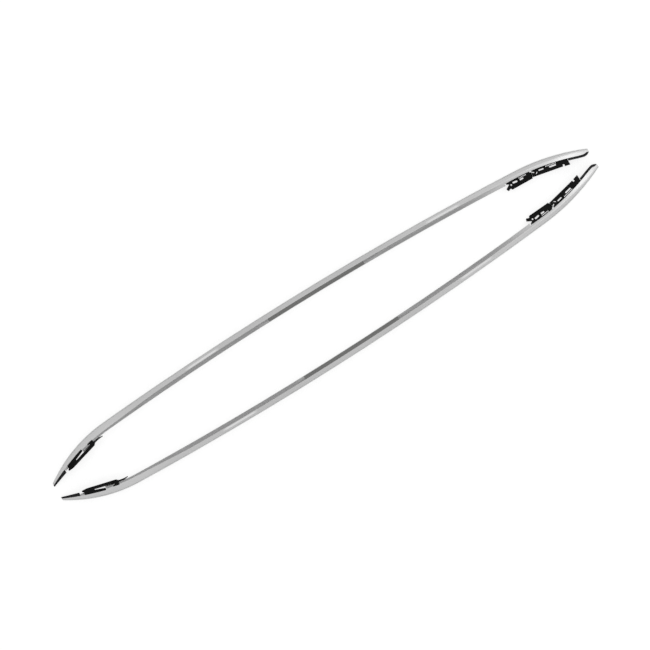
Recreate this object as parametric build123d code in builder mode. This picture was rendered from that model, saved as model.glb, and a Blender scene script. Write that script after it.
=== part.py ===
# Pair of roof side rails, laid on their inner sides with the undersides facing each other.
# X runs along the rails with the pointed front end at -X, Y across the pair, Z up from the floor.
# The left rail is modelled at +Y and mirrored for the right one.
import os
from math import asin, degrees, radians, sqrt

from build123d import *

# Arch of a rail seen from its side: one long arc with a tighter bend at each end
RAIL_LENGTH = 1850.0
ARCH_REACH = 120.6  # top of the arch, from the line midway between the two rails
ARCH_OFFSET = -100.0  # top of the arch, from mid-length
ARCH_RADIUS = 10500.0
FRONT_BEND_RUN = 218.0
FRONT_BEND_RADIUS = 430.0
REAR_BEND_RUN = 219.0
REAR_BEND_RADIUS = 635.0
END_OVERRUN = 18.0  # bar length past each tip before the end is cut

# Section of the extrusion: depth runs from the rail's top to its underside, width up from the floor
RAIL_WIDTH = 40.0
RAIL_DEPTH = 27.5
CROWN_RISE = 2.2
FACE_DEPTH = 15.0
FACE_LEAN = 4.5
BEVEL_DEPTH = 11.6
BEVEL_DROP = 8.2
REST_START = 6.0
REST_END = 20.0
UNDERSIDE_LIFT = 9.0
CROWN_RADIUS = 40.0
EDGE_RADIUS = 3.0
CREASE_RADIUS = 1.2
END_CREASE_RADIUS = 7.0
WALL = 2.6

# Ends of the bar: it narrows to a nose, the face's crease moves and the rear bevel turns level
FRONT_NOSE = 130.0
FRONT_TIP_WIDTH = 5.0
REAR_NOSE = 110.0
REAR_TIP_WIDTH = 26.0
END_BEVEL_DROP = 0.3
FRONT_TURN = (230.0, 450.0)  # run from the end over which the section changes
REAR_TURN = (40.0, 440.0)
FRONT_TIP_TURN = (40.0, 200.0)
REAR_TIP_TURN = (18.0, 170.0)
FRONT_FACE_GAIN = 3.5
REAR_FACE_LOSS = 2.0
FRONT_TIP_LOSS = 9.0
REAR_TIP_LOSS = 6.0
REAR_TIP_LEAN = 0.65  # share of the face's lean that is left at the rear tip
FRONT_STEPS = 16  # sections along each end, less one
REAR_STEPS = 12
FRONT_CAVITY_START = 46.0
REAR_CAVITY_START = 40.0

# Screw port: a rib inside the top wall that takes the bracket screws
PORT_TOP = 1.6
PORT_DEPTH = 9.0
PORT_WIDTH = 10.0
PORT_END_SETBACK = 62.0

# Underside cuts, as points in the frame of each bend's start
FRONT_CUT = ((-228.0, -69.6), (-150.0, -41.3), (-94.0, -26.5))
FRONT_CUT_HEEL = 8.0
FRONT_TAB = (-21.5, 10.2)  # tab that the front cut leaves, along the bracket's base and above it
FRONT_TAB_LENGTH = 11.9
REAR_CUT = ((-40.0, -21.4), (80.0, -25.2), (178.0, -44.3))
REAR_CHIN = (202.0, -50.0)
REAR_TIP = (224.5, -41.0)

# Dark strip let into the lower bevel
STRIP_START = -134.0
STRIP_LENGTH = 327.0
STRIP_MARGIN = 1.2
STRIP_THICKNESS = 2.2
STRIP_PROUD = 0.7

# Moulded brackets: side walls, floor and cross ribs
BRACKET_WIDTH = 28.0
BRACKET_WALL = 3.0
BRACKET_FLOOR = 4.0
RIB = 2.4
RAISED_RIB = 1.0
FIT_GAP = 0.2

# Front bracket, along its base and above it
FRONT_BASE = (-145.0, -59.3)
FRONT_BASE_ANGLE = 11.6
FRONT_BAR_LENGTH = 96.3
FRONT_BAR_HEIGHT = 9.4
FRONT_BAR_RISE = 1.0
FRONT_BAR_CHAMFER = (5.8, 3.6)
FRONT_BLOCK_LENGTH = 22.5
FRONT_HEEL = ((-9.6, 9.8), (-15.0, 6.8), (-15.0, 3.0))
FRONT_ARM_LENGTH = 54.8
FRONT_UPRIGHT_START = 82.3
FRONT_UPRIGHT_HEIGHT = 17.9
FRONT_EAR_START = 77.5
FRONT_EAR_FOOT = 14.2
FRONT_EAR_RISE = 5.6
FRONT_POCKET_LENGTH = 26.0
WINDOW_START = 1.6
WINDOW_END = 5.2
TONGUE_TOP = ((94.0, 9.6), (112.0, 8.2), (127.0, 2.6))
TONGUE_UNDER = ((126.0, 0.6), (112.0, 3.4), (94.0, 3.8))
TONGUE_WIDTH = 16.0

# Rear bracket, along its base and above it
REAR_BASE = (-33.6, -46.7)
REAR_BASE_ANGLE = 1.6
REAR_BASE_LENGTH = 75.0
REAR_SIDE = ((-3.0, 22.4), (4.6, 17.7), (-8.8, 9.6), (-6.2, 2.6))
REAR_SCALLOP = ((-2.0, 1.8), (2.4, 4.6), (6.0, 0.0))
REAR_CELL_ENDS = (6.6, 72.0)
REAR_RIBS = (35.2, 52.4)
# Slots of a rear bracket: along, above, length, width, angle
REAR_SLOTS = ((23.8, 16.3, 15.0, 5.0, -8.0), (44.2, 14.9, 13.0, 4.3, 0.0))
REAR_HOLE = (9.8, 13.9)
REAR_HOLE_DIAMETER = 4.6
REAR_RAISED_RIB = 38.5
REAR_COMB = (39.5, 20.4)
REAR_COMB_COUNT = 6
LINK_LENGTH = 6.0
LINK_FOOT = 0.8
LINK_RISE = 15.5
LINK_THICKNESS = 10.0

# Rear end bracket, along its base and above it
REAR_END_BASE = (43.4, -42.0)
REAR_END_BASE_ANGLE = -8.0
REAR_END_BASE_LENGTH = 93.8
NOTCH_WIDTH = 5.0
NOTCH_HEIGHT = 5.6
FOOT_TAB = ((98.8, -0.7), (115.6, -1.6), (112.5, 14.1))
REAR_END_CELL_ENDS = (5.3, 79.3)
REAR_END_RIBS = (21.0, 42.6)
REAR_END_SLOTS = (
    (29.3, 13.6, 15.5, 3.4, 0.0), (64.8, 12.5, 21.0, 4.2, 0.0),
    (14.1, 8.6, 7.0, 1.8, 52.0), (2.5, 14.3, 11.0, 2.2, -27.0),
)
REAR_END_COMB = (45.6, 18.0)
REAR_END_COMB_COUNT = 8

# Small features that both rear brackets share
RAISED_RIB_WIDTH = 1.6
COMB_PITCH = 4.2
COMB_TOOTH = (2.2, 3.4)

# Seals under the tips
FRONT_SEAL_LINE = ((-240.0, -77.0), (-169.5, -58.6))
REAR_SEAL_START = 157.7
REAR_SEAL_THICKNESS = 7.6

# Threaded inserts for the roof bolts, moulded into the brackets' bases
INSERT_BORE = 6.0
INSERT_DIAMETER = 10.0
INSERT_FLANGE = 14.0
INSERT_FLANGE_HEIGHT = 1.5
INSERT_LENGTH = 8.0
INSERT_BOSS = 15.0
BOLT_RELIEF_DIAMETER = 7.0
BOLT_RELIEF_DEPTH = 12.0
FRONT_INSERTS = (11.0, 62.0)
REAR_INSERT = 23.8
REAR_END_INSERT = 30.8

# Self-tapping screws that hold the brackets to the bar
SCREW_DIAMETER = 4.2
SCREW_HEAD_DIAMETER = 8.6
SCREW_HEAD_HEIGHT = 3.2
SCREW_HEAD_TAPER = 12.0
SCREW_RECESS = (5.0, 1.1)
SCREW_RECESS_DEPTH = 1.7
SCREW_GRIP = 6.0
SCREW_BITE = 5.0
SCREW_CLEARANCE = 0.4
SCREW_BOSS = 13.0
FRONT_NOSE_SCREW = -2.0
FRONT_UPRIGHT_SCREW = 86.0
REAR_SCREW = 68.0
REAR_END_SCREW = 86.5

mid_height = RAIL_WIDTH / 2
bracket_low = mid_height - BRACKET_WIDTH / 2
main_centre = Vector(ARCH_OFFSET, ARCH_REACH - ARCH_RADIUS)
front_angle = degrees(asin((ARCH_OFFSET + RAIL_LENGTH / 2 - FRONT_BEND_RUN) / ARCH_RADIUS))
rear_angle = degrees(asin((RAIL_LENGTH / 2 - REAR_BEND_RUN - ARCH_OFFSET) / ARCH_RADIUS))


def toward(angle):
    """Unit vector that leans by angle from straight across the pair, positive to the front."""
    return Vector(0, 1).rotate(Axis.Z, angle)


front_centre = main_centre + toward(front_angle) * (ARCH_RADIUS - FRONT_BEND_RADIUS)
rear_centre = main_centre + toward(-rear_angle) * (ARCH_RADIUS - REAR_BEND_RADIUS)
front_swing = degrees(asin((FRONT_BEND_RUN + END_OVERRUN) / FRONT_BEND_RADIUS))
rear_swing = degrees(asin((REAR_BEND_RUN + END_OVERRUN) / REAR_BEND_RADIUS))
front_frame = Plane(main_centre + toward(front_angle) * ARCH_RADIUS, x_dir=toward(front_angle - 90))
rear_frame = Plane(main_centre + toward(-rear_angle) * ARCH_RADIUS, x_dir=toward(-rear_angle - 90))


def arch(depth, setback=0):
    """The rail's three arcs, moved in by depth and stopped short of both ends by setback."""
    front_arc = front_swing - degrees(setback / FRONT_BEND_RADIUS)
    rear_arc = rear_swing - degrees(setback / REAR_BEND_RADIUS)
    with BuildLine() as line:
        CenterArc(front_centre, FRONT_BEND_RADIUS - depth, 90 + front_angle + front_arc, -front_arc)
        CenterArc(main_centre, ARCH_RADIUS - depth, 90 + front_angle, -front_angle - rear_angle)
        CenterArc(rear_centre, REAR_BEND_RADIUS - depth, 90 - rear_angle, -rear_arc)
    return line.wire()


top_line = arch(0)
bar_length = top_line.length
front_arc_length = radians(front_swing) * FRONT_BEND_RADIUS


def ease(run, limits):
    """Smooth step from 0 to 1 as run goes from the first limit to the second."""
    share = min(max((run - limits[0]) / (limits[1] - limits[0]), 0), 1)
    return share * share * (3 - 2 * share)


def section_plane(travel):
    """Plane across the bar at a distance along its top, with depth along X and height along Y."""
    spot = top_line.position_at(travel, PositionMode.LENGTH)
    heading = top_line.tangent_at(travel, PositionMode.LENGTH)
    return Plane(spot, x_dir=heading.rotate(Axis.Z, -90), z_dir=-heading)


def section_corners(travel):
    """Corner points and corner radii of the bar's section at a distance along its top."""
    front_run, rear_run = travel, bar_length - travel
    width = RAIL_WIDTH
    width -= (RAIL_WIDTH - FRONT_TIP_WIDTH) * max(0, 1 - front_run / FRONT_NOSE) ** 2
    width -= (RAIL_WIDTH - REAR_TIP_WIDTH) * max(0, 1 - rear_run / REAR_NOSE) ** 2
    share = width / RAIL_WIDTH
    front_plain, rear_plain = ease(front_run, FRONT_TURN), ease(rear_run, REAR_TURN)
    front_tip, rear_tip = 1 - ease(front_run, FRONT_TIP_TURN), 1 - ease(rear_run, REAR_TIP_TURN)
    crease = END_CREASE_RADIUS + (CREASE_RADIUS - END_CREASE_RADIUS) * front_plain * rear_plain
    face = FACE_DEPTH + FRONT_FACE_GAIN * (1 - front_plain) - REAR_FACE_LOSS * (1 - rear_plain)
    face -= FRONT_TIP_LOSS * front_tip + REAR_TIP_LOSS * rear_tip
    lean = FACE_LEAN * min(1, (face - CROWN_RISE) / (FACE_DEPTH - CROWN_RISE))
    lean *= 1 - (1 - REAR_TIP_LEAN) * rear_tip
    drop = END_BEVEL_DROP + (BEVEL_DROP - END_BEVEL_DROP) * rear_plain
    drop *= (FACE_DEPTH + BEVEL_DEPTH - face) / BEVEL_DEPTH
    corners = [
        (0, 0.5 * width),
        (CROWN_RISE * share, width - lean * share),
        (face, width),
        (FACE_DEPTH + BEVEL_DEPTH, width - drop * share),
        (RAIL_DEPTH, UNDERSIDE_LIFT * share),
        (REST_END, 0),
        (REST_START * share, 0),
        (CROWN_RISE * share, FACE_LEAN * share),
    ]
    radii = [CROWN_RADIUS, EDGE_RADIUS, crease, CREASE_RADIUS] + [EDGE_RADIUS] * 4
    return corners, [radius * share for radius in radii]


def moved_out(corners, amount):
    """Corners of a convex outline, with every side moved out by amount (in, where it is negative)."""
    points = [Vector(*corner) for corner in corners]
    moved = []
    for before, corner, after in zip(points[-1:] + points[:-1], points, points[1:] + points[:1]):
        first, second = ((v.normalized()).rotate(Axis.Z, 90) for v in (corner - before, after - corner))
        moved.append(corner + (first + second) * (amount / (1 + first.dot(second))))
    return [(point.X, point.Y) for point in moved]


def base_plane(frame, corner, angle):
    """Plane of a bracket's base: X along the base, Y up into the rail."""
    return Plane(frame.from_local_coords(corner), x_dir=frame.x_dir.rotate(Axis.Z, angle))


def screw_seat(base, along, centre, radius):
    """Plane where a screw on a bracket's base meets an arc of the bar, and the base's distance from it."""
    start = base.from_local_coords((along, 0, mid_height))
    out = start - Vector(centre.X, centre.Y, mid_height)
    lean = out.dot(base.y_dir)
    lift = sqrt(lean**2 + radius**2 - out.dot(out)) - lean
    return Plane(start + base.y_dir * lift, x_dir=base.x_dir, z_dir=base.y_dir), lift


def front_region(drop, reach, heel=0):
    """Everything between the front underside cut, lowered by drop, and a line at a height of reach."""
    with BuildPart() as region:
        with BuildSketch(front_frame):
            with BuildLine():
                cut = ThreePointArc(*[(x, y - drop) for x, y in FRONT_CUT])
                Polyline(cut @ 1, (FRONT_CUT[2][0] + heel, reach), (FRONT_CUT[0][0], reach), cut @ 0)
            make_face()
        extrude(amount=2 * RAIL_WIDTH, both=True)
    return region.part


def rear_region(drop, reach):
    """Everything between the rear underside cut, lowered by drop, and a line at a height of reach."""
    with BuildPart() as region:
        with BuildSketch(rear_frame):
            with BuildLine():
                cut = ThreePointArc(*[(x, y - drop) for x, y in REAR_CUT])
                chin = TangentArc(cut @ 1, (REAR_CHIN[0], REAR_CHIN[1] - drop), tangent=cut % 1)
                tip = TangentArc(chin @ 1, (REAR_TIP[0], REAR_TIP[1] - drop), tangent=chin % 1)
                past_tip = REAR_TIP[0] + END_OVERRUN
                Polyline(tip @ 1, (past_tip, REAR_TIP[1] - drop), (past_tip, reach),
                         (REAR_CUT[0][0], reach), cut @ 0)
            make_face()
        extrude(amount=2 * RAIL_WIDTH, both=True)
    return region.part


def nose(stations):
    """Solid end of the bar, lofted through its sections at the stations."""
    with BuildPart() as solid:
        for station in stations:
            corners, radii = section_corners(station)
            with BuildSketch(section_plane(station)):
                with BuildLine():
                    FilletPolyline(*corners, radius=radii, close=True)
                make_face()
        loft()
    return solid.part


def sleeve(stations, amount):
    """One stretch of the bar, with the sides of its sections moved out by amount."""
    with BuildPart() as space:
        for station in stations:
            with BuildSketch(section_plane(station)):
                Polygon(*moved_out(section_corners(station)[0], amount), align=None)
        loft(ruled=True)
    return space.part


def port_band(gap):
    """Screw port inside the bar's top wall, grown by gap."""
    top = arch(PORT_TOP, PORT_END_SETBACK - gap)
    foot = arch(PORT_DEPTH + gap, PORT_END_SETBACK - gap)
    with BuildPart() as band:
        with BuildSketch(Plane.XY.offset(mid_height - PORT_WIDTH / 2 - gap)):
            with BuildLine():
                add(top)
                add(foot)
                Line(top @ 0, foot @ 0)
                Line(top @ 1, foot @ 1)
            make_face()
        extrude(amount=PORT_WIDTH + 2 * gap)
    return band.part


def insert_planes(base, places):
    """Plane of each threaded insert on a base, with its axis pointing out to the roof."""
    return [Plane(base.from_local_coords((place, 0, mid_height)), x_dir=base.x_dir, z_dir=-base.y_dir)
            for place in places]


def fastening(screws, inserts):
    """Bosses and stepped holes for a bracket's screws and threaded inserts."""
    with BuildPart() as bosses:
        for seat, lift in screws:
            with BuildSketch(seat.offset(-FIT_GAP)):
                Circle(SCREW_BOSS / 2)
            extrude(amount=FIT_GAP - lift + BRACKET_FLOOR / 2)
        with BuildSketch(*inserts):
            Circle(INSERT_BOSS / 2)
        extrude(amount=-INSERT_LENGTH)
    with BuildPart() as holes:
        for seat, lift in screws:
            with BuildSketch(seat):
                Circle(SCREW_DIAMETER / 2 + SCREW_CLEARANCE)
            extrude(amount=-lift)
            with BuildSketch(seat.offset(-SCREW_GRIP)):
                Circle(SCREW_HEAD_DIAMETER / 2 + SCREW_CLEARANCE)
            extrude(amount=-lift)
        with BuildSketch(*inserts):
            Circle(BOLT_RELIEF_DIAMETER / 2)
        extrude(amount=-BOLT_RELIEF_DEPTH)
        with BuildSketch(*inserts):
            Circle(INSERT_DIAMETER / 2)
        extrude(amount=-INSERT_LENGTH)
        with BuildSketch(*inserts):
            Circle(INSERT_FLANGE / 2)
        extrude(amount=-INSERT_FLANGE_HEIGHT)
    return bosses.part, holes.part


def cells(base, ends, ribs):
    """Pockets of a bracket between its cross ribs, open towards the rail."""
    starts = [ends[0]] + [rib + RIB / 2 for rib in ribs]
    stops = [rib - RIB / 2 for rib in ribs] + [ends[1]]
    with BuildPart() as pockets:
        with BuildSketch(base.offset(bracket_low + BRACKET_WALL)):
            for start, stop in zip(starts, stops):
                with Locations((start, BRACKET_FLOOR)):
                    Rectangle(stop - start, RAIL_WIDTH, align=Align.MIN)
        extrude(amount=BRACKET_WIDTH - 2 * BRACKET_WALL)
    return pockets.part


front_base = base_plane(front_frame, FRONT_BASE, FRONT_BASE_ANGLE)
rear_base = base_plane(rear_frame, REAR_BASE, REAR_BASE_ANGLE)
rear_end_base = base_plane(rear_frame, REAR_END_BASE, REAR_END_BASE_ANGLE)
front_port = FRONT_BEND_RADIUS - PORT_DEPTH
rear_port = REAR_BEND_RADIUS - PORT_DEPTH
front_underside = FRONT_BEND_RADIUS - (FACE_DEPTH + BEVEL_DEPTH + RAIL_DEPTH) / 2
front_seats = [
    screw_seat(front_base, FRONT_NOSE_SCREW, front_centre, front_port),
    screw_seat(front_base, FRONT_UPRIGHT_SCREW, front_centre, front_underside),
]
rear_seats = [screw_seat(rear_base, REAR_SCREW, rear_centre, rear_port)]
rear_end_seats = [screw_seat(rear_end_base, REAR_END_SCREW, rear_centre, rear_port)]
front_bores = insert_planes(front_base, FRONT_INSERTS)
rear_bores = insert_planes(rear_base, [REAR_INSERT])
rear_end_bores = insert_planes(rear_end_base, [REAR_END_INSERT])

front_stations = [FRONT_TURN[1] * n / FRONT_STEPS for n in range(FRONT_STEPS + 1)]
mid_start = front_stations[-1]
mid_end = bar_length - REAR_TURN[1]
rear_stations = [mid_end + REAR_TURN[1] * n / REAR_STEPS for n in range(REAR_STEPS + 1)]
rear_cavity_end = bar_length - REAR_CAVITY_START
mid_arc = degrees((mid_end - mid_start) / ARCH_RADIUS)
main_axis = Axis(main_centre, (0, 0, -1))


def strip_profile(gap):
    """Section of the strip on the lower bevel, grown by gap, from its foot to its face proud of the bevel."""
    crease = Vector(FACE_DEPTH, RAIL_WIDTH)
    down = Vector(BEVEL_DEPTH, -BEVEL_DROP).normalized()
    out = down.rotate(Axis.Z, 90)
    near = STRIP_MARGIN - gap
    far = Vector(BEVEL_DEPTH, BEVEL_DROP).length - STRIP_MARGIN + gap
    foot = STRIP_PROUD - STRIP_THICKNESS - gap
    points = [crease + down * along + out * rise for along, rise in
              ((near, foot), (near, STRIP_PROUD), (far, STRIP_PROUD), (far, foot))]
    return [(point.X, point.Y) for point in points]


strip_travel = front_arc_length + (asin((STRIP_START - ARCH_OFFSET) / ARCH_RADIUS)
                                   + radians(front_angle)) * ARCH_RADIUS
strip_plane = section_plane(strip_travel)
strip_arc = degrees(STRIP_LENGTH / ARCH_RADIUS)

# Both ends of the bar, solid at first: the seals are cut from them too
front_solid = nose(front_stations)
rear_solid = nose(rear_stations)
above_front_cut = front_region(FIT_GAP, RAIL_WIDTH)
above_rear_cut = rear_region(FIT_GAP, RAIL_WIDTH)
port_clearance = port_band(FIT_GAP)

# Waste past both tips
with BuildPart() as tip_waste:
    for side in (-1, 1):
        with BuildSketch(Plane.YZ.offset(side * RAIL_LENGTH / 2)):
            Rectangle(4 * ARCH_REACH, 4 * RAIL_WIDTH)
        extrude(amount=side * 4 * END_OVERRUN)

# Front end of the bar, cut away underneath except for one tab, and hollowed
front_inside = sleeve([FRONT_CAVITY_START] + [s for s in front_stations if s > FRONT_CAVITY_START], -WALL)
with BuildPart() as front_waste:
    add(front_region(0, -6 * RAIL_DEPTH, heel=FRONT_CUT_HEEL))
    with BuildSketch(front_base):
        with Locations(FRONT_TAB):
            Rectangle(FRONT_TAB_LENGTH, RAIL_WIDTH, align=Align.MIN)
    extrude(amount=2 * RAIL_WIDTH, both=True, mode=Mode.SUBTRACT)
with BuildPart() as front_end:
    add(front_solid)
    add(front_waste.part, mode=Mode.SUBTRACT)
    add(tip_waste.part, mode=Mode.SUBTRACT)
    add(front_inside, mode=Mode.SUBTRACT)

# Rear end of the bar, cut away underneath and hollowed
rear_inside = sleeve([s for s in rear_stations if s < rear_cavity_end] + [rear_cavity_end], -WALL)
rear_waste = rear_region(0, -6 * RAIL_DEPTH)
with BuildPart() as rear_end:
    add(rear_solid)
    add(rear_waste, mode=Mode.SUBTRACT)
    add(tip_waste.part, mode=Mode.SUBTRACT)
    add(rear_inside, mode=Mode.SUBTRACT)

# Bar: the hollow section turned about the arch's centre, with both ends, the screw port and a rebate
with BuildPart() as rail_bar:
    corners, radii = section_corners(mid_start)
    with BuildSketch(section_plane(mid_start)):
        with BuildLine():
            FilletPolyline(*corners, radius=radii, close=True)
        make_face()
        Polygon(*moved_out(corners, -WALL), align=None, mode=Mode.SUBTRACT)
    revolve(axis=main_axis, revolution_arc=mid_arc)
    with BuildSketch(strip_plane):
        Polygon(*strip_profile(FIT_GAP), align=None)
    revolve(axis=main_axis, revolution_arc=strip_arc, mode=Mode.SUBTRACT)
    add(front_end.part)
    add(rear_end.part)
    add(port_band(0))
    for seat, _ in front_seats + rear_seats + rear_end_seats:
        with BuildSketch(seat.offset(-SCREW_GRIP / 2)):
            Circle(SCREW_DIAMETER / 2)
        extrude(amount=SCREW_GRIP / 2 + SCREW_BITE + FIT_GAP, mode=Mode.SUBTRACT)

# Dark strip in its rebate on the lower bevel
with BuildPart() as underside_strip:
    with BuildSketch(strip_plane):
        Polygon(*strip_profile(0), align=None)
    revolve(axis=main_axis, revolution_arc=strip_arc)

# Front bracket: nose block, long bar, upper arm, upright with an ear over the bevel, spring tongue
front_bosses, front_holes = fastening(front_seats, front_bores)
cut_run = front_arc_length - asin(-FRONT_CUT[2][0] / FRONT_BEND_RADIUS) * FRONT_BEND_RADIUS
clearance_end = front_arc_length + BRACKET_WIDTH
bar_clearance = sleeve([cut_run] + [s for s in front_stations if cut_run < s < clearance_end], FIT_GAP)
with BuildPart() as front_bracket:
    with BuildSketch(front_base.offset(bracket_low)):
        with BuildLine():
            Polyline(
                (0, 0), (FRONT_BAR_LENGTH - FRONT_BAR_CHAMFER[0], 0),
                (FRONT_BAR_LENGTH, FRONT_BAR_CHAMFER[1]),
                (FRONT_BAR_LENGTH, FRONT_BAR_HEIGHT + FRONT_BAR_RISE),
                (FRONT_BLOCK_LENGTH, FRONT_BAR_HEIGHT),
                (FRONT_BLOCK_LENGTH, FRONT_BAR_HEIGHT + WINDOW_START),
                (FRONT_ARM_LENGTH, FRONT_BAR_HEIGHT + WINDOW_END),
                (FRONT_ARM_LENGTH, RAIL_WIDTH), (FRONT_HEEL[0][0], RAIL_WIDTH), *FRONT_HEEL, close=True,
            )
        make_face()
    extrude(amount=BRACKET_WIDTH)
    add(above_front_cut, mode=Mode.SUBTRACT)
    with BuildSketch(front_base.offset(bracket_low)):
        with BuildLine():
            Polyline(
                (FRONT_UPRIGHT_START, BRACKET_FLOOR), (FRONT_BAR_LENGTH, BRACKET_FLOOR),
                (FRONT_BAR_LENGTH, FRONT_UPRIGHT_HEIGHT), (FRONT_EAR_START, FRONT_UPRIGHT_HEIGHT),
                (FRONT_EAR_START, FRONT_EAR_FOOT), (FRONT_UPRIGHT_START, FRONT_EAR_FOOT), close=True,
            )
        make_face()
    extrude(amount=BRACKET_WIDTH + FRONT_EAR_RISE)
    with BuildSketch(front_base.offset(mid_height - TONGUE_WIDTH / 2)):
        with BuildLine():
            top = ThreePointArc(*TONGUE_TOP)
            under = ThreePointArc(*TONGUE_UNDER)
            Line(top @ 1, under @ 0)
            Line(under @ 1, top @ 0)
        make_face()
    extrude(amount=TONGUE_WIDTH)
    add(front_bosses)
    add(port_clearance, mode=Mode.SUBTRACT)
    add(bar_clearance, mode=Mode.SUBTRACT)
    with BuildSketch(front_base.offset(bracket_low + BRACKET_WALL)):
        with Locations((FRONT_BLOCK_LENGTH + BRACKET_WALL, BRACKET_FLOOR)):
            Rectangle(FRONT_POCKET_LENGTH, FRONT_BAR_HEIGHT - BRACKET_FLOOR, align=Align.MIN)
    extrude(amount=BRACKET_WIDTH - 2 * BRACKET_WALL, mode=Mode.SUBTRACT)
    add(front_holes, mode=Mode.SUBTRACT)

# Rear bracket: ribbed cells, slots, the hook at its inner end and the low link to the next bracket
rear_bosses, rear_holes = fastening(rear_seats, rear_bores)
rear_cells = cells(rear_base, REAR_CELL_ENDS, REAR_RIBS)
rear_face = rear_base.offset(bracket_low + BRACKET_WIDTH)
with BuildPart() as rear_bracket:
    with BuildSketch(rear_base.offset(bracket_low)):
        with BuildLine():
            scallop = ThreePointArc(*REAR_SCALLOP)
            Polyline(scallop @ 1, (REAR_BASE_LENGTH, 0), (REAR_BASE_LENGTH, RAIL_WIDTH),
                     (REAR_SIDE[0][0], RAIL_WIDTH), *REAR_SIDE, scallop @ 0)
        make_face()
    extrude(amount=BRACKET_WIDTH)
    add(above_rear_cut, mode=Mode.SUBTRACT)
    add(rear_cells, mode=Mode.SUBTRACT)
    with BuildSketch(rear_end_base.offset(bracket_low)):
        with Locations((-LINK_LENGTH, LINK_FOOT)):
            Rectangle(LINK_LENGTH - FIT_GAP, LINK_RISE, align=Align.MIN)
    extrude(amount=LINK_THICKNESS)
    with BuildSketch(rear_face):
        with Locations((REAR_RAISED_RIB, BRACKET_FLOOR / 2)):
            Rectangle(RAISED_RIB_WIDTH, REAR_COMB[1] - BRACKET_FLOOR / 2, align=(Align.CENTER, Align.MIN))
    extrude(amount=RAISED_RIB)
    with BuildSketch(rear_face):
        for along, above, length, width, angle in REAR_SLOTS:
            with Locations((along, above)):
                SlotOverall(length, width, rotation=angle)
        with Locations(REAR_HOLE):
            Circle(REAR_HOLE_DIAMETER / 2)
        for tooth in range(REAR_COMB_COUNT):
            with Locations((REAR_COMB[0] + tooth * COMB_PITCH, REAR_COMB[1])):
                Rectangle(*COMB_TOOTH)
    extrude(amount=-BRACKET_WIDTH, mode=Mode.SUBTRACT)
    add(rear_bosses)
    add(port_clearance, mode=Mode.SUBTRACT)
    add(rear_holes, mode=Mode.SUBTRACT)

# Rear end bracket: the second half of the foot, with a notch and a foot tab at its outer end
rear_end_bosses, rear_end_holes = fastening(rear_end_seats, rear_end_bores)
rear_end_cells = cells(rear_end_base, REAR_END_CELL_ENDS, REAR_END_RIBS)
rear_end_face = rear_end_base.offset(bracket_low + BRACKET_WIDTH)
with BuildPart() as rear_end_bracket:
    with BuildSketch(rear_end_base.offset(bracket_low)):
        with BuildLine():
            Polyline(
                (0, 0), (REAR_END_BASE_LENGTH, 0), (REAR_END_BASE_LENGTH, NOTCH_HEIGHT),
                (REAR_END_BASE_LENGTH + NOTCH_WIDTH, NOTCH_HEIGHT), *FOOT_TAB,
                (FOOT_TAB[2][0], RAIL_WIDTH), (0, RAIL_WIDTH), close=True,
            )
        make_face()
    extrude(amount=BRACKET_WIDTH)
    add(above_rear_cut, mode=Mode.SUBTRACT)
    add(rear_end_cells, mode=Mode.SUBTRACT)
    with BuildSketch(rear_end_face):
        with Locations((REAR_END_RIBS[1], BRACKET_FLOOR / 2)):
            Rectangle(RAISED_RIB_WIDTH, REAR_END_COMB[1] - BRACKET_FLOOR / 2, align=(Align.CENTER, Align.MIN))
    extrude(amount=RAISED_RIB)
    with BuildSketch(rear_end_face):
        for along, above, length, width, angle in REAR_END_SLOTS:
            with Locations((along, above)):
                SlotOverall(length, width, rotation=angle)
        for tooth in range(REAR_END_COMB_COUNT):
            with Locations((REAR_END_COMB[0] + tooth * COMB_PITCH, REAR_END_COMB[1])):
                Rectangle(*COMB_TOOTH)
    extrude(amount=-BRACKET_WIDTH, mode=Mode.SUBTRACT)
    add(rear_end_bosses)
    add(port_clearance, mode=Mode.SUBTRACT)
    add(rear_end_holes, mode=Mode.SUBTRACT)

# Front seal: a wedge under the pointed tip, flush with the bar's sides
with BuildPart() as front_seal:
    add(front_solid)
    add(above_front_cut, mode=Mode.SUBTRACT)
    with BuildSketch(front_frame):
        with BuildLine():
            Polyline(*FRONT_SEAL_LINE, (FRONT_SEAL_LINE[1][0], 0), (FRONT_SEAL_LINE[0][0], 0), close=True)
        make_face()
    extrude(amount=2 * RAIL_WIDTH, both=True, mode=Mode.INTERSECT)
    add(tip_waste.part, mode=Mode.SUBTRACT)

# Rear seal: a lip of even thickness under the rounded tip
below_rear_seal = rear_region(FIT_GAP + REAR_SEAL_THICKNESS, -6 * RAIL_DEPTH)
with BuildPart() as rear_seal:
    add(rear_solid)
    add(above_rear_cut, mode=Mode.SUBTRACT)
    add(below_rear_seal, mode=Mode.SUBTRACT)
    with BuildSketch(rear_frame):
        with Locations((REAR_SEAL_START, 0)):
            Rectangle(REAR_TIP[0] - REAR_SEAL_START, 6 * RAIL_DEPTH, align=(Align.MIN, Align.CENTER))
    extrude(amount=2 * RAIL_WIDTH, both=True, mode=Mode.INTERSECT)
    add(tip_waste.part, mode=Mode.SUBTRACT)


def insert_group(planes):
    """Flanged steel inserts, one on each plane."""
    with BuildPart() as group:
        with BuildSketch(*planes):
            Circle(INSERT_FLANGE / 2)
        extrude(amount=-INSERT_FLANGE_HEIGHT)
        with BuildSketch(*planes):
            Circle(INSERT_DIAMETER / 2)
        extrude(amount=-INSERT_LENGTH)
        with BuildSketch(*planes):
            Circle(INSERT_BORE / 2)
        extrude(amount=-INSERT_LENGTH, mode=Mode.SUBTRACT)
    return group


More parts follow.
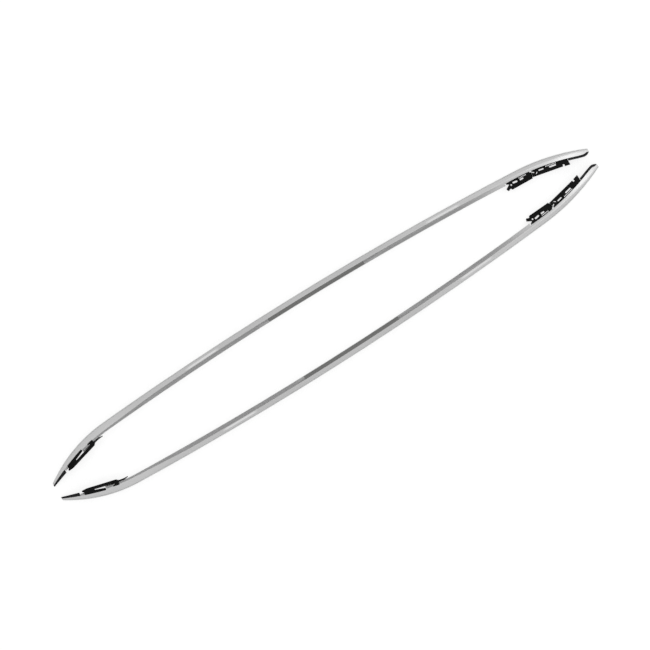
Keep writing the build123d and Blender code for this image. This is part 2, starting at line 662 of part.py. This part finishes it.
def screw_group(seats):
    """Pan-head screws with a cross recess, one at each seat."""
    heads = [seat.offset(-SCREW_GRIP) for seat, _ in seats]
    tops = [seat.offset(-SCREW_GRIP - SCREW_HEAD_HEIGHT) for seat, _ in seats]
    with BuildPart() as group:
        with BuildSketch(*heads):
            Circle(SCREW_HEAD_DIAMETER / 2)
        extrude(amount=-SCREW_HEAD_HEIGHT, taper=SCREW_HEAD_TAPER)
        with BuildSketch(*heads):
            Circle(SCREW_DIAMETER / 2)
        extrude(amount=SCREW_GRIP + SCREW_BITE)
        with BuildSketch(*tops):
            Rectangle(*SCREW_RECESS)
            Rectangle(*SCREW_RECESS, rotation=90)
        extrude(amount=SCREW_RECESS_DEPTH, mode=Mode.SUBTRACT)
    return group


pieces = {
    "rail_bar": rail_bar,
    "underside_strip": underside_strip,
    "front_bracket": front_bracket,
    "front_seal": front_seal,
    "rear_bracket": rear_bracket,
    "rear_end_bracket": rear_end_bracket,
    "rear_seal": rear_seal,
    "front_insert": insert_group(front_bores),
    "rear_insert": insert_group(rear_bores + rear_end_bores),
    "front_screw": screw_group(front_seats),
    "rear_screw": screw_group(rear_seats + rear_end_seats),
}

# The left rail's pieces, and their mirror images for the right rail
os.makedirs("parts", exist_ok=True)
for name, piece in pieces.items():
    piece.part.label = "left_" + name
    export_step(piece.part, f"parts/left_{name}.step")
    mirrored = mirror(piece.part, about=Plane.XZ)
    mirrored.label = "right_" + name
    export_step(mirrored, f"parts/right_{name}.step")
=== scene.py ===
import math

import bmesh
import bpy
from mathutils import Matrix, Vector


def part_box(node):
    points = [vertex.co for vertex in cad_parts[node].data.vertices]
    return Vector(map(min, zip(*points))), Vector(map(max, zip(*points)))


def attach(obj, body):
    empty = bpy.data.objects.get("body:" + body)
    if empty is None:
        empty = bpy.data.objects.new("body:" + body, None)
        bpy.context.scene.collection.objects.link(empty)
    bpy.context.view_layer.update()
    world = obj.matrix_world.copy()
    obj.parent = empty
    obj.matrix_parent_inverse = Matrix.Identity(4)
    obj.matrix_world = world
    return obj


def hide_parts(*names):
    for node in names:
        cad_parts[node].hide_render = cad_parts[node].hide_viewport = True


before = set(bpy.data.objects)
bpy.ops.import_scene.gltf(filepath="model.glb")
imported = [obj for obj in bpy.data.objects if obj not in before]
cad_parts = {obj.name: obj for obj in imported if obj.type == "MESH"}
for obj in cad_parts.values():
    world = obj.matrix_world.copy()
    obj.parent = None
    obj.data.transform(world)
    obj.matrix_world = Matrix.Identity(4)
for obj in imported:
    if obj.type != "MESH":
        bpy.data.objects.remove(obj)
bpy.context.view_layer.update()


# Rail bars. Each is one hollow aluminium extrusion, bent to the roof's arch and drawn down at both ends.
# It is satin anodised: fine die lines run along it, following the bend, under an even soft sheen. Two
# stretches of the crease are painted paler, as a painted highlight.
SIDES = ("left", "right")
METAL_TONES = ((0.494, 0.494, 0.494), (0.552, 0.552, 0.552))
METAL_ROUGHNESS = (0.31, 0.43)
CLOUD_SCALE = 9.0
CLOUD_STRETCH = (0.3, 1, 1)
DIE_LINE_STRETCH = (1.2, 900, 900)  # long along the rail, about a millimetre apart across it
DIE_LINE_DEPTH = 0.00001
ARCH_RADIUS = 10.5
ARCH_TOP = (-0.1, 0.1206)  # in plan, on the left rail's outer edge
ARCH_CENTRE = (ARCH_TOP[0], ARCH_TOP[1] - ARCH_RADIUS)
FRONT_BEND = (-0.707, 0.43)  # where the end's bend starts along the rail, and its radius
REAR_BEND = (0.706, 0.635)
# The paler colour painted on two stretches of the crease below is a painted highlight, not the metal's own
# tone.
PAINTED_HIGHLIGHT_TONE = (0.7, 0.7, 0.7, 1)
PAINTED_HIGHLIGHT_CENTRES = (-0.361, 0.464)
PAINTED_HIGHLIGHT_LENGTH = 0.104
PAINTED_HIGHLIGHT_DEPTHS = (0.0088, 0.0140)  # in from the rail's outer edge
PAINTED_HIGHLIGHT_SOFT_END = 0.008
PAINTED_HIGHLIGHT_SOFT_EDGE = 0.0008
NOISE_RANGE = (0.3, 0.7)  # where nearly all values of a noise lie


def new_material(name):
    """A node material, with its tree and its principled shader."""
    material = bpy.data.materials.new(name)
    material.use_nodes = True
    tree = material.node_tree
    return material, tree, tree.nodes["Principled BSDF"]


def add_node(tree, kind, *sources, **settings):
    """A node with these sockets linked to its first inputs, its properties set, and input N set by in_N."""
    node = tree.nodes.new(kind)
    for key, value in settings.items():
        if key.startswith("in_"):
            node.inputs[int(key.removeprefix("in_"))].default_value = value
        else:
            setattr(node, key, value)
    for place, source in enumerate(sources):
        if source is not None:
            tree.links.new(source, node.inputs[place])
    return node


def object_place(tree):
    """The object's own coordinates, in metres."""
    return add_node(tree, "ShaderNodeTexCoord").outputs["Object"]


def noise_on(tree, vector, scale=1.0, stretch=(1, 1, 1), detail=3.0):
    """Noise on a vector socket, stretched along its axes."""
    place = add_node(tree, "ShaderNodeMapping", vector, in_3=stretch)
    noise = add_node(tree, "ShaderNodeTexNoise", place.outputs[0])
    noise.inputs["Scale"].default_value = scale
    noise.inputs["Detail"].default_value = detail
    return noise.outputs[0]


def spread(tree, noise, low, high):
    """A noise, spread from low to high."""
    start, end = NOISE_RANGE
    return add_node(tree, "ShaderNodeMapRange", noise, in_1=start, in_2=end, in_3=low, in_4=high).outputs[0]


def tint(tree, noise, dark, pale):
    """A colour between two, by a noise."""
    ramp = add_node(tree, "ShaderNodeValToRGB", noise)
    for stop, position, colour in zip(ramp.color_ramp.elements, NOISE_RANGE, (dark, pale)):
        stop.position = position
        stop.color = (*colour, 1)
    return ramp.outputs[0]


def relief(tree, shader, noise, depth):
    """Bump of this depth in metres from a noise."""
    bump = add_node(tree, "ShaderNodeBump")
    bump.inputs["Distance"].default_value = depth
    bump.inputs["Strength"].default_value = 1.0
    tree.links.new(noise, bump.inputs["Height"])
    tree.links.new(bump.outputs[0], shader.inputs["Normal"])


def dress(piece, material):
    """The material on the left and the right CAD node of a piece."""
    for side in SIDES:
        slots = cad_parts[f"{side}_{piece}"].data.materials
        slots.clear()
        slots.append(material)


def bend_centre(start, radius):
    """The centre of an end's bend in plan: the bend runs on from the arch without a kink."""
    lean = (start - ARCH_CENTRE[0]) / ARCH_RADIUS
    reach = ARCH_RADIUS - radius
    return ARCH_CENTRE[0] + reach * lean, ARCH_CENTRE[1] + reach * math.sqrt(1 - lean ** 2)


def along_the_bend(tree):
    """Coordinates that follow a rail: X along the pair, Y the depth in from its outer edge, Z up."""
    spot = add_node(tree, "ShaderNodeSeparateXYZ", object_place(tree))
    from_middle = add_node(tree, "ShaderNodeMath", spot.outputs["Y"], operation="ABSOLUTE")
    plan = add_node(tree, "ShaderNodeCombineXYZ", spot.outputs["X"], from_middle.outputs[0])

    def depth_in(centre, radius):
        """The depth in from a circle in plan."""
        reach = add_node(tree, "ShaderNodeVectorMath", plan.outputs[0],
                         operation="DISTANCE", in_1=(*centre, 0))
        depth = add_node(tree, "ShaderNodeMath", None, reach.outputs["Value"],
                         operation="SUBTRACT", in_0=radius)
        return depth.outputs[0]

    depth = depth_in(ARCH_CENTRE, ARCH_RADIUS)
    for start, radius in (FRONT_BEND, REAR_BEND):
        outward = "LESS_THAN" if start < 0 else "GREATER_THAN"
        past = add_node(tree, "ShaderNodeMath", spot.outputs["X"], operation=outward, in_1=start)
        bend_depth = depth_in(bend_centre(start, radius), radius)
        depth = add_node(tree, "ShaderNodeMix", past.outputs[0], None, depth, bend_depth).outputs[0]
    return add_node(tree, "ShaderNodeCombineXYZ", spot.outputs["X"], depth, spot.outputs["Z"]).outputs[0]


def within(tree, value, start, end, soft):
    """One from start to end of a value, fading to nought within the soft width on each side of both."""
    up = add_node(tree, "ShaderNodeMapRange", value, in_1=start - soft, in_2=start + soft)
    down = add_node(tree, "ShaderNodeMapRange", value, in_1=end + soft, in_2=end - soft)
    return add_node(tree, "ShaderNodeMath", up.outputs[0], down.outputs[0], operation="MULTIPLY").outputs[0]


def painted_crease_highlights(tree, bend):
    """One on the two stretches of the crease that carry the painted highlight, nought elsewhere."""
    spot = add_node(tree, "ShaderNodeSeparateXYZ", bend)
    half = PAINTED_HIGHLIGHT_LENGTH / 2
    along = [within(tree, spot.outputs["X"], centre - half, centre + half, PAINTED_HIGHLIGHT_SOFT_END)
             for centre in PAINTED_HIGHLIGHT_CENTRES]
    either = add_node(tree, "ShaderNodeMath", *along, operation="ADD")
    across = within(tree, spot.outputs["Y"], *PAINTED_HIGHLIGHT_DEPTHS, PAINTED_HIGHLIGHT_SOFT_EDGE)
    return add_node(tree, "ShaderNodeMath", either.outputs[0], across, operation="MULTIPLY").outputs[0]


anodised, tree, shader = new_material("satin_anodised_aluminium")
bend = along_the_bend(tree)
die_lines = noise_on(tree, bend, stretch=DIE_LINE_STRETCH, detail=4.0)
clouding = noise_on(tree, bend, CLOUD_SCALE, CLOUD_STRETCH, detail=2.0)
# The base colour is the metal's random clouded tone, painted paler on two stretches of the crease as a
# painted highlight.
tone_and_painted_highlight = add_node(tree, "ShaderNodeMix", data_type="RGBA")
tone_and_painted_highlight.inputs["B"].default_value = PAINTED_HIGHLIGHT_TONE
tree.links.new(painted_crease_highlights(tree, bend), tone_and_painted_highlight.inputs["Factor"])
tree.links.new(tint(tree, clouding, *METAL_TONES), tone_and_painted_highlight.inputs["A"])
tree.links.new(tone_and_painted_highlight.outputs["Result"], shader.inputs["Base Color"])
tree.links.new(spread(tree, die_lines, *METAL_ROUGHNESS), shader.inputs["Roughness"])
relief(tree, shader, die_lines, DIE_LINE_DEPTH)
shader.inputs["Metallic"].default_value = 1.0
dress("rail_bar", anodised)


# Underside strips. A dark rubber strip, pressed into a rebate on the lower bevel of each bar, pads it
# where a cross bar or a load would touch. It is extruded, so faint drawn lines run along it.
STRIP_TONES = ((0.14, 0.14, 0.137), (0.2, 0.2, 0.195))
STRIP_ROUGHNESS = (0.5, 0.65)
DRAWN_LINE_STRETCH = (4, 700, 700)
DRAWN_LINE_DEPTH = 0.00002
strip_rubber, tree, shader = new_material("dark_strip_rubber")
drawn_lines = noise_on(tree, along_the_bend(tree), stretch=DRAWN_LINE_STRETCH)
tree.links.new(tint(tree, drawn_lines, *STRIP_TONES), shader.inputs["Base Color"])
tree.links.new(spread(tree, drawn_lines, *STRIP_ROUGHNESS), shader.inputs["Roughness"])
relief(tree, shader, drawn_lines, DRAWN_LINE_DEPTH)
dress("underside_strip", strip_rubber)


# Brackets. Three black mouldings in each rail, glass-filled nylon with ribbed cells, slots and bosses,
# screwed up into the bar. Their faces have a fine spark-eroded grain and faint flow marks.
NYLON_TONES = ((0.002, 0.002, 0.002), (0.006, 0.006, 0.006))
NYLON_ROUGHNESS = (0.5, 0.66)
NYLON_SPECULAR = 0.08
GRAIN_SCALE = 900.0
GRAIN_DEPTH = 0.00005
FLOW_SCALE = 26.0
moulded_black, tree, shader = new_material("black_moulded_nylon")
grain = noise_on(tree, object_place(tree), GRAIN_SCALE, detail=4.0)
flow = noise_on(tree, object_place(tree), FLOW_SCALE, detail=2.0)
tree.links.new(tint(tree, flow, *NYLON_TONES), shader.inputs["Base Color"])
tree.links.new(spread(tree, grain, *NYLON_ROUGHNESS), shader.inputs["Roughness"])
shader.inputs["Specular IOR Level"].default_value = NYLON_SPECULAR
relief(tree, shader, grain, GRAIN_DEPTH)
for bracket in ("front_bracket", "rear_bracket", "rear_end_bracket"):
    dress(bracket, moulded_black)


# Seals. A soft black rubber wedge under the pointed tip and a lip under the rounded one close the
# rail's ends against the roof. They are moulded and matte, with a little bloom.
SEAL_TONES = ((0.010, 0.010, 0.011), (0.024, 0.024, 0.025))
SEAL_ROUGHNESS = (0.6, 0.78)
SEAL_SPECULAR = 0.08
BLOOM_SCALE = 60.0
SKIN_SCALE = 1500.0
SKIN_DEPTH = 0.00003
seal_rubber, tree, shader = new_material("black_seal_rubber")
bloom = noise_on(tree, object_place(tree), BLOOM_SCALE, detail=4.0)
skin = noise_on(tree, object_place(tree), SKIN_SCALE, detail=2.0)
tree.links.new(tint(tree, bloom, *SEAL_TONES), shader.inputs["Base Color"])
tree.links.new(spread(tree, bloom, *SEAL_ROUGHNESS), shader.inputs["Roughness"])
shader.inputs["Specular IOR Level"].default_value = SEAL_SPECULAR
relief(tree, shader, skin, SKIN_DEPTH)
for seal in ("front_seal", "rear_seal"):
    dress(seal, seal_rubber)


# Rear tips. The bar's rounded nose closes each tip in metal, and the rear seal's lip runs out below it.
# Both are made from the seal's solid, which reaches round the tip: it is parted there by a slanted cut.
CUT_FROM_TIP = 0.0051  # a point of the cut, back from the tip's end
CUT_FROM_INSIDE = 0.00756  # and out from the seal's side nearest the other rail
CUT_SLANT = math.radians(16.41)  # how far the cut turns in towards the other rail
WELD = 0.000001
SHARP_EDGE = math.radians(30)


def parted_from_seal(side, name, nose):
    """The nose or the lip of one side's rear seal, as a closed mesh."""
    hand = 1 if side == "left" else -1
    low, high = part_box("left_rear_seal")  # the right one is its mirror image
    shape = bmesh.new()
    shape.from_mesh(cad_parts[f"{side}_rear_seal"].data)
    bmesh.ops.remove_doubles(shape, verts=shape.verts, dist=WELD)
    bmesh.ops.bisect_plane(shape, geom=[*shape.verts, *shape.edges, *shape.faces], dist=WELD,
                           plane_co=(high.x - CUT_FROM_TIP, hand * (low.y + CUT_FROM_INSIDE), 0),
                           plane_no=(math.sin(CUT_SLANT), hand * math.cos(CUT_SLANT), 0),
                           clear_inner=nose, clear_outer=not nose)
    bmesh.ops.holes_fill(shape, edges=[edge for edge in shape.edges if edge.is_boundary])
    for face in shape.faces:
        face.smooth = True
    for edge in shape.edges:
        edge.smooth = edge.calc_face_angle(math.pi) < SHARP_EDGE
    mesh = bpy.data.meshes.new(f"{side}_{name}")
    shape.to_mesh(mesh)
    shape.free()
    piece = bpy.data.objects.new(f"{side}_{name}", mesh)
    bpy.context.scene.collection.objects.link(piece)
    return piece


for side in SIDES:
    lip = parted_from_seal(side, "rear_lip", nose=False)
    lip.data.materials.append(seal_rubber)
    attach(lip, "root")
    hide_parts(f"{side}_rear_seal")
    nose = parted_from_seal(side, "rear_nose", nose=True)
    nose.data.materials.append(anodised)
    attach(nose, "root")


# Inserts and screws. Flanged threaded inserts are moulded into the brackets' bases, and pan-head
# self-tapping screws hold the brackets in the bar. Both are steel, zinc plated and slightly cloudy.
ZINC_TONES = ((0.50, 0.51, 0.51), (0.62, 0.62, 0.60))
ZINC_ROUGHNESS = (0.28, 0.42)
PATCH_SCALE = 420.0
SCRATCH_SCALE = 2600.0
SCRATCH_STRETCH = (1, 1, 0.2)
SCRATCH_DEPTH = 0.00001
zinc_plate, tree, shader = new_material("zinc_plated_steel")
patches = noise_on(tree, object_place(tree), PATCH_SCALE)
scratches = noise_on(tree, object_place(tree), SCRATCH_SCALE, SCRATCH_STRETCH, detail=2.0)
tree.links.new(tint(tree, patches, *ZINC_TONES), shader.inputs["Base Color"])
tree.links.new(spread(tree, patches, *ZINC_ROUGHNESS), shader.inputs["Roughness"])
relief(tree, shader, scratches, SCRATCH_DEPTH)
shader.inputs["Metallic"].default_value = 1.0
for fastener in ("front_insert", "rear_insert", "front_screw", "rear_screw"):
    dress(fastener, zinc_plate)


# Floor. The pair lies on plain paper, a grey that takes a soft shadow and carries little light back up.
# Where it is seen, directly or mirrored, it adds enough of its own light to look white.
FLOOR_SIZE = 14.0
FLOOR_DROP = 0.0002  # below the rails, so that their lowest faces don't flicker with it
FLOOR_LIFT = 0.76
PAPER_TONES = ((0.31, 0.31, 0.31), (0.33, 0.33, 0.33))
PAPER_ROUGHNESS = 0.9
FIBRE_SCALE = 40.0
WHITE = (1, 1, 1, 1)


def seen_directly(tree):
    """One for camera, mirror and see-through rays, nought for the rays that carry light."""
    rays = add_node(tree, "ShaderNodeLightPath").outputs
    seen = rays["Is Camera Ray"]
    for other in ("Is Glossy Ray", "Is Transmission Ray"):
        seen = add_node(tree, "ShaderNodeMath", seen, rays[other], operation="MAXIMUM").outputs[0]
    return seen


bpy.ops.mesh.primitive_plane_add(size=FLOOR_SIZE, location=(0, 0, -FLOOR_DROP))
floor = bpy.context.object
floor.name = "studio_floor"
paper, tree, shader = new_material("white_paper_floor")
fibres = noise_on(tree, object_place(tree), FIBRE_SCALE, detail=2.0)
tree.links.new(tint(tree, fibres, *PAPER_TONES), shader.inputs["Base Color"])
shader.inputs["Roughness"].default_value = PAPER_ROUGHNESS
shader.inputs["Specular IOR Level"].default_value = 0.0
shader.inputs["Emission Color"].default_value = WHITE
lift = add_node(tree, "ShaderNodeMath", seen_directly(tree), operation="MULTIPLY", in_1=FLOOR_LIFT)
tree.links.new(lift.outputs[0], shader.inputs["Emission Strength"])
floor.data.materials.append(paper)


# Light. The sky is even overhead and darker low down, with a glow of pale walls at the horizon, so faces
# of the rails at different tilts differ in tone. A soft box over the rear ends makes those brighter.
OVERHEAD = 1.045
LOW_SKY = 0.06
SKY_RISE = (0.3, 0.5)  # heights on a unit sky between which it goes from low to full
WALL_GLOW = 1.2
WALL_RANGE = (0.0, 0.2)  # heights between which the walls' glow fades out
BACKDROP = 1.0  # what the camera itself sees past the floor
SOFT_BOX_PLACE = (0.95, 0.0, 0.55)
SOFT_BOX_SIZE = (0.34, 0.3)
SOFT_BOX_POWER = 0.39
world = bpy.data.worlds.new("studio_sky")
bpy.context.scene.world = world
world.use_nodes = True
tree = world.node_tree
sky_place = add_node(tree, "ShaderNodeTexCoord").outputs["Generated"]
height = add_node(tree, "ShaderNodeSeparateXYZ", sky_place).outputs["Z"]
bands = []
for start, end, low, high in ((*SKY_RISE, LOW_SKY, OVERHEAD), (*WALL_RANGE, WALL_GLOW, 0.0)):
    band = add_node(tree, "ShaderNodeMapRange", height, interpolation_type="SMOOTHSTEP",
                    in_1=start, in_2=end, in_3=low, in_4=high)
    bands.append(band.outputs[0])
sky = add_node(tree, "ShaderNodeMath", *bands, operation="ADD")
camera_ray = add_node(tree, "ShaderNodeLightPath").outputs["Is Camera Ray"]
level = add_node(tree, "ShaderNodeMix", camera_ray, None, sky.outputs[0], in_3=BACKDROP)
background = tree.nodes["Background"]
background.inputs["Color"].default_value = WHITE
tree.links.new(level.outputs[0], background.inputs["Strength"])

soft_box = bpy.data.lights.new("rear_soft_box", "AREA")
soft_box.shape = "RECTANGLE"
soft_box.size, soft_box.size_y = SOFT_BOX_SIZE
soft_box.energy = SOFT_BOX_POWER
soft_box_stand = bpy.data.objects.new("rear_soft_box", soft_box)
soft_box_stand.location = SOFT_BOX_PLACE
soft_box_stand.visible_camera = False
bpy.context.scene.collection.objects.link(soft_box_stand)


# Camera. It looks straight down without perspective, as the photograph does, and is turned so that the
# rails run from lower left to upper right.
VIEW_TURN = math.radians(31.994)  # how far the rails are turned from level in the picture
METRES_PER_PIXEL = 0.002932
FRAME_PIXELS = 650
CENTRE_OFFSET = (0.37, 0.15)  # pixels by which the pair's centre lies right of and above the picture's
CAMERA_HEIGHT = 3.0
lens = bpy.data.cameras.new("overhead_camera")
lens.type = "ORTHO"
lens.ortho_scale = FRAME_PIXELS * METRES_PER_PIXEL
camera = bpy.data.objects.new("overhead_camera", lens)
bpy.context.scene.collection.objects.link(camera)
right, up = (-pixels * METRES_PER_PIXEL for pixels in CENTRE_OFFSET)
camera.location = (right * math.cos(VIEW_TURN) + up * math.sin(VIEW_TURN),
                   up * math.cos(VIEW_TURN) - right * math.sin(VIEW_TURN), CAMERA_HEIGHT)
camera.rotation_euler = (0, 0, -VIEW_TURN)
bpy.context.scene.camera = camera
bpy.context.scene.view_settings.view_transform = "Standard"
